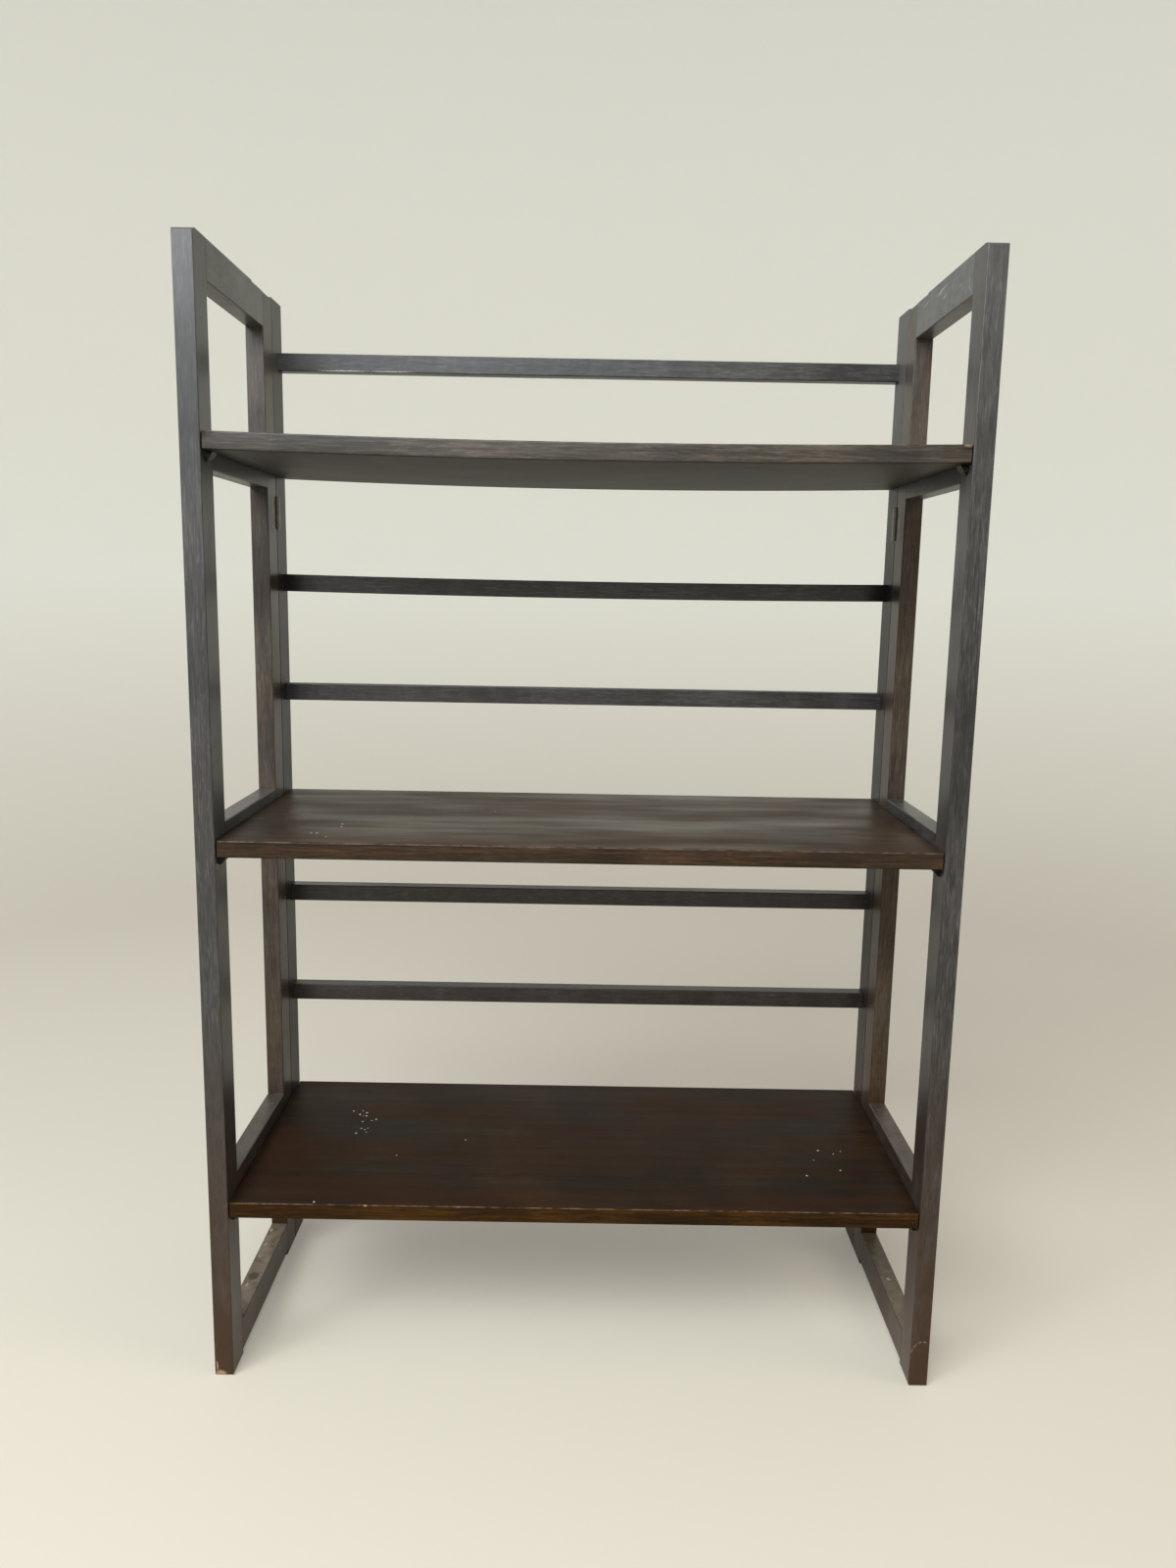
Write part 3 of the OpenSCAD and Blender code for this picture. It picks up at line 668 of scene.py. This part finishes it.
def board_wood(name, face_tones, edge_tones, shine, polish, under_dull, red, marks=()):
    """The finish of one shelf; polish is the range of its roughness, red the strength of redder patches."""
    material, tree, output = empty_material(name)
    source = add(tree, "ShaderNodeTexCoord").outputs
    place = source["Object"]
    facing = add(tree, "ShaderNodeSeparateXYZ", Vector=source["Normal"]).outputs
    face_colour, tone, _ = grain(tree, place, "X", face_tones, rings=0.05, flecks=0.2 * shine)
    edge_colour, _, _ = grain(tree, place, "X", edge_tones, band=0.24, flecks=0.5 * shine)
    front = where(tree, (facing["Y"], *FLAT_MINUS))
    below = where(tree, (facing["Z"], *FLAT_MINUS))
    colour = add(tree, "ShaderNodeMix", {"data_type": "RGBA"},
                 i0=front, i6=face_colour, i7=edge_colour).outputs[2]
    spread = add(tree, "ShaderNodeMapping", Vector=place, Scale=(PATCH_STRETCH, 1, 1)).outputs[0]
    patches = add(tree, "ShaderNodeTexNoise", Vector=spread, Scale=1000 / PATCH_MM,
                  Detail=3.0, Roughness=0.55).outputs[0]
    red_patches = where(tree, (patches, *A_PATCH), (facing["Z"], *FLAT_PLUS))
    colour = paint_over(tree, colour, red_patches, REDDER, red)
    colour = haze(tree, colour, place, 0.12 * shine)
    colour = front_corners(tree, colour, place, facing)
    edges = rubbed_edges(tree, place, reach_mm=1.8, least=0.54, most=0.70)
    colour = paint_over(tree, colour, edges, WORN, strength=0.6)
    colour = add_marks(tree, place, colour, marks)
    polished = add(tree, "ShaderNodeMapRange", Value=patches,
                   From_Min=0.35, From_Max=0.65, To_Min=polish[0], To_Max=polish[1]).outputs[0]
    dull = add(tree, "ShaderNodeMix", {"data_type": "FLOAT"}, i0=below, i2=polished, i3=under_dull).outputs[0]
    lacquered(tree, output, colour, dull, tone, shine, depth=0.6)
    return material


# %% [markdown]
# Each board has a mark or two of its own on the front edge: a bumped corner on the top one, two small
# knots in the middle one and two knocks on the bottom one.

# %% Board finishes
# painted light: the top board's grey tones stand for sheen, and the bottom board's red ones for warm bounce
# off the floor
top_board_wood = board_wood(
    "stained_beech_board_sheen_grey",
    face_tones=("#0E0B08", "#241F18", "#433B30"),
    edge_tones=("#130E09", "#2E261D", "#52473A"),
    shine=0.42, polish=(0.34, 0.46), under_dull=0.56, red=0.08,
    marks=[blot("#9A8871", (374, -161, 1024), (5, 2.5, 2.5))],
)
middle_board_wood = board_wood(
    "stained_beech_board_brown",
    face_tones=("#170F07", "#291D10", "#3F2D1A"),
    edge_tones=("#1B1209", "#312316", "#4A3726"),
    shine=0.16, polish=(0.28, 0.54), under_dull=0.6, red=0.24,
    marks=[
        blot("#4A2D1B", (-115, -161, 607), (4.5, 1.5, 1.6)),
        blot("#4A2D1B", (155, -161, 610), (3.5, 1.5, 2.4)),
    ],
)
bottom_board_wood = board_wood(
    "stained_beech_board_red",
    face_tones=("#110903", "#1E1207", "#301D0B"),
    edge_tones=("#160B02", "#2D1A04", "#4B2F08"),
    shine=0.09, polish=(0.42, 0.56), under_dull=0.6, red=0.30,
    marks=[
        blot(BARE, (-229.5, -161.6, 208.6), (3.5, 1.5, 1.5)),
        blot(WORN, (-127, -161.6, 208.6), (3, 1.5, 1.2)),
    ],
)
for board_finish in (top_board_wood, middle_board_wood, bottom_board_wood):
    print(board_finish.name, "has", len(board_finish.node_tree.nodes), "nodes")

# %% [markdown]
# ## Metal
# The butt hinges and their screws are plated steel with a dark bronze finish, dull from handling, and
# the pivot pins inside are bright turned steel. Metal is a mirror that is only as sharp as its surface
# is smooth, so its look is nearly all roughness: blotches of a few millimetres on the plated parts, and
# a finer grit, on a smoother surface, on the pins.


# %% Metal finishes
def metal(name, base, tarnish, roughness, grit_mm):
    """A metal whose tarnish and roughness vary together."""
    material, tree, output = empty_material(name)
    place = add(tree, "ShaderNodeTexCoord").outputs["Object"]
    grit = add(tree, "ShaderNodeTexNoise", Vector=place, Scale=1000 / grit_mm, Detail=3.0).outputs[0]
    colour = add(tree, "ShaderNodeMix", {"data_type": "RGBA"},
                 i0=grit, i6=linear(base), i7=linear(tarnish)).outputs[2]
    dull = add(tree, "ShaderNodeMapRange", Value=grit, From_Min=0.3, From_Max=0.7,
               To_Min=roughness - 0.08, To_Max=roughness + 0.1).outputs[0]
    relief = add(tree, "ShaderNodeBump", Height=grit, Strength=0.1, Distance=0.0001).outputs[0]
    surface = add(tree, "ShaderNodeBsdfPrincipled", Base_Color=colour, Metallic=1.0,
                  Roughness=dull, Normal=relief)
    tree.links.new(surface.outputs[0], output.inputs["Surface"])
    return material


bronze_plate = metal("bronze_plated_steel_pressed", "#8F8B85", "#6B6762", 0.45, 3)
screw_plate = metal("bronze_plated_steel_screw", "#7A7771", "#5B5853", 0.42, 2)
turned_steel = metal("bright_steel_turned", "#B9B7B2", "#8E8C88", 0.25, 1)
print("metals:", bronze_plate.name, screw_plate.name, turned_steel.name)

# %% [markdown]
# The dowels are bare beech, glued in their holes, so they show only where a piece is taken apart.


# %% Bare wood
def bare_wood(name, axis, tones):
    """Unfinished wood: the same grain, with no lacquer."""
    material, tree, output = empty_material(name)
    place = add(tree, "ShaderNodeTexCoord").outputs["Object"]
    colour, tone, _ = grain(tree, place, axis, tones)
    relief = add(tree, "ShaderNodeBump", Height=tone, Strength=0.3, Distance=0.0003).outputs[0]
    surface = add(tree, "ShaderNodeBsdfPrincipled", Base_Color=colour, Roughness=0.7, Normal=relief)
    tree.links.new(surface.outputs[0], output.inputs["Surface"])
    return material


bare_beech = bare_wood("bare_beech_dowel", "X", ("#A9835A", "#C4A27A", "#D8BC94"))
print("made", bare_beech.name)

# %% [markdown]
# ## Who gets which finish
# The CAD nodes keep their meshes. A node's name says what it is, so a short table from the last words of
# the name to a finish dresses them all.

# %% Dress the CAD nodes
FINISHES = {
    "front_post": post_wood,
    "back_post": back_post_wood,
    "stile": stile_wood,
    "rail": rail_wood,
    "slat": slat_wood,
    "shelf_pegs": peg_wood,
    "top_shelf": top_board_wood,
    "middle_shelf": middle_board_wood,
    "bottom_shelf": bottom_board_wood,
    "leaves": bronze_plate,
    "hinge_pins": bronze_plate,
    "screws": screw_plate,
    "pivot_pins": turned_steel,
    "dowels": bare_beech,
}
for name, node in nodes.items():
    finish = [FINISHES[end] for end in FINISHES if name.endswith(end)][0]
    node.data.materials.clear()
    node.data.materials.append(finish)
print("dressed", len(nodes), "nodes")

# %% [markdown]
# ## A shelf that sags and a slat that bows
# The weight of books has bent the top board by about five millimetres in its middle, a little more at
# the back, where no post holds it, and the fourth slat has bowed too. The CAD pieces are straight, as
# they were made. A copy of each is cut across every few centimetres, so that it can bend, and its points
# are lowered on a parabola, which is close to how an evenly loaded board hangs between two ends.

# %% Bend a copy of a board
CUT_STEP = 30 * MM
WELD = 0.001 * MM    # points that are closer than this are one point
SMOOTH_ANGLE = math.radians(30)
SAG_IN_FRONT = 4.5 * MM
SAG_BEHIND = 5.6 * MM
BOW = 2.6 * MM


def bent_copy(node_name, new_name, material, body, drop_front, drop_back):
    """Replaces a node by a copy that hangs down in its middle."""
    bm = bmesh.new()
    bm.from_mesh(nodes[node_name].data)
    bmesh.ops.remove_doubles(bm, verts=bm.verts[:], dist=WELD)
    low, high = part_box(node_name)
    cuts = int((high.x - low.x) / CUT_STEP)
    for i in range(1, cuts):
        place = low.x + (high.x - low.x) * i / cuts
        bmesh.ops.bisect_plane(bm, geom=bm.verts[:] + bm.edges[:] + bm.faces[:],
                               plane_co=(place, 0, 0), plane_no=(1, 0, 0), dist=WELD)
    for point in bm.verts:
        across = (point.co.y - low.y) / (high.y - low.y)
        along = point.co.x / high.x
        drop = drop_front + (drop_back - drop_front) * across
        point.co.z -= drop * (1 - along ** 2)
    for face in bm.faces:
        face.smooth = True
    piece = new_piece(new_name, bm, material, body, [node_name])
    piece.data.set_sharp_from_angle(angle=SMOOTH_ANGLE)


bent_copy("top_shelf", "top_shelf_sagged", top_board_wood, "top_shelf_board",
          SAG_IN_FRONT, SAG_BEHIND)
bent_copy("fourth_slat", "fourth_slat_bowed", slat_wood, "back_frame", BOW, BOW)

# %% [markdown]
# ## Flecks of paint
# Drops of pale paint have dried on the boards as low discs, 1.4 to 2.4 mm across, in two clusters on the
# bottom board and a few on the middle one. Each is a squat cone with its tip cut off, a little larger or
# smaller than the next and turned by its own x, so that no two look alike. Each board's flecks are one
# piece that swings with the board.


# %% Fleck maker
FLECK_THICKNESS = 0.12    # of a fleck's size
FLECK_SIDES = 9
FOOT = 2.3                # a fleck's size is this many times the radius of its foot
TIP = 3.5                 # and this many times the radius of its tip


def paint_flecks(name, board, spots):
    """One piece of dried drops; a spot is x, y and the size, in millimetres."""
    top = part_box(board)[1].z
    bm = bmesh.new()
    for x, y, size in spots:
        thickness = FLECK_THICKNESS * size * MM
        bmesh.ops.create_cone(
            bm, cap_ends=True, segments=FLECK_SIDES, depth=thickness,
            radius1=size / FOOT * MM, radius2=size / TIP * MM,
            matrix=Matrix.Translation((x * MM, y * MM, top + thickness / 2)) @ Matrix.Rotation(x, 4, "Z"),
        )
    new_piece(name, bm, dried_paint, board + "_board")


# %% Flecks on the two lower boards
dried_paint, tree, output = empty_material("dried_emulsion_paint_drops")
drops = add(tree, "ShaderNodeBsdfPrincipled", Base_Color=linear("#C9C5BC"), Roughness=0.6, IOR=1.5)
tree.links.new(drops.outputs[0], output.inputs["Surface"])

paint_flecks("bottom_shelf_flecks", "bottom_shelf", [
    (-286, -156, 2.6), (-269, 65, 2.8), (-272, 8, 2.6), (-268, 56, 2.8), (-287, 69, 2.4), (-254, 47, 2.4),
    (-277, 60, 2.6), (-263, 18, 2.0), (-270, 40, 2.0), (-268, 21, 1.8), (-275, 70, 2.0), (-259, 43, 1.8),
    (-260, 22, 1.7), (-260, 11, 1.6), (-272, 56, 1.6), (-135, -5, 2.0), (-213, -47, 1.7), (295, -18, 2.6),
    (270, -80, 2.4), (312, -26, 1.8), (322, -19, 1.7), (312, -66, 2.2), (285, -42, 1.6),
])
paint_flecks("middle_shelf_flecks", "middle_shelf", [
    (-265, -78, 2.0), (-284, -114, 2.2), (-290, -114, 2.0), (-267, -64, 2.2), (-271, -130, 1.8),
    (-197, -13, 1.6), (-103, 23, 1.6),
])
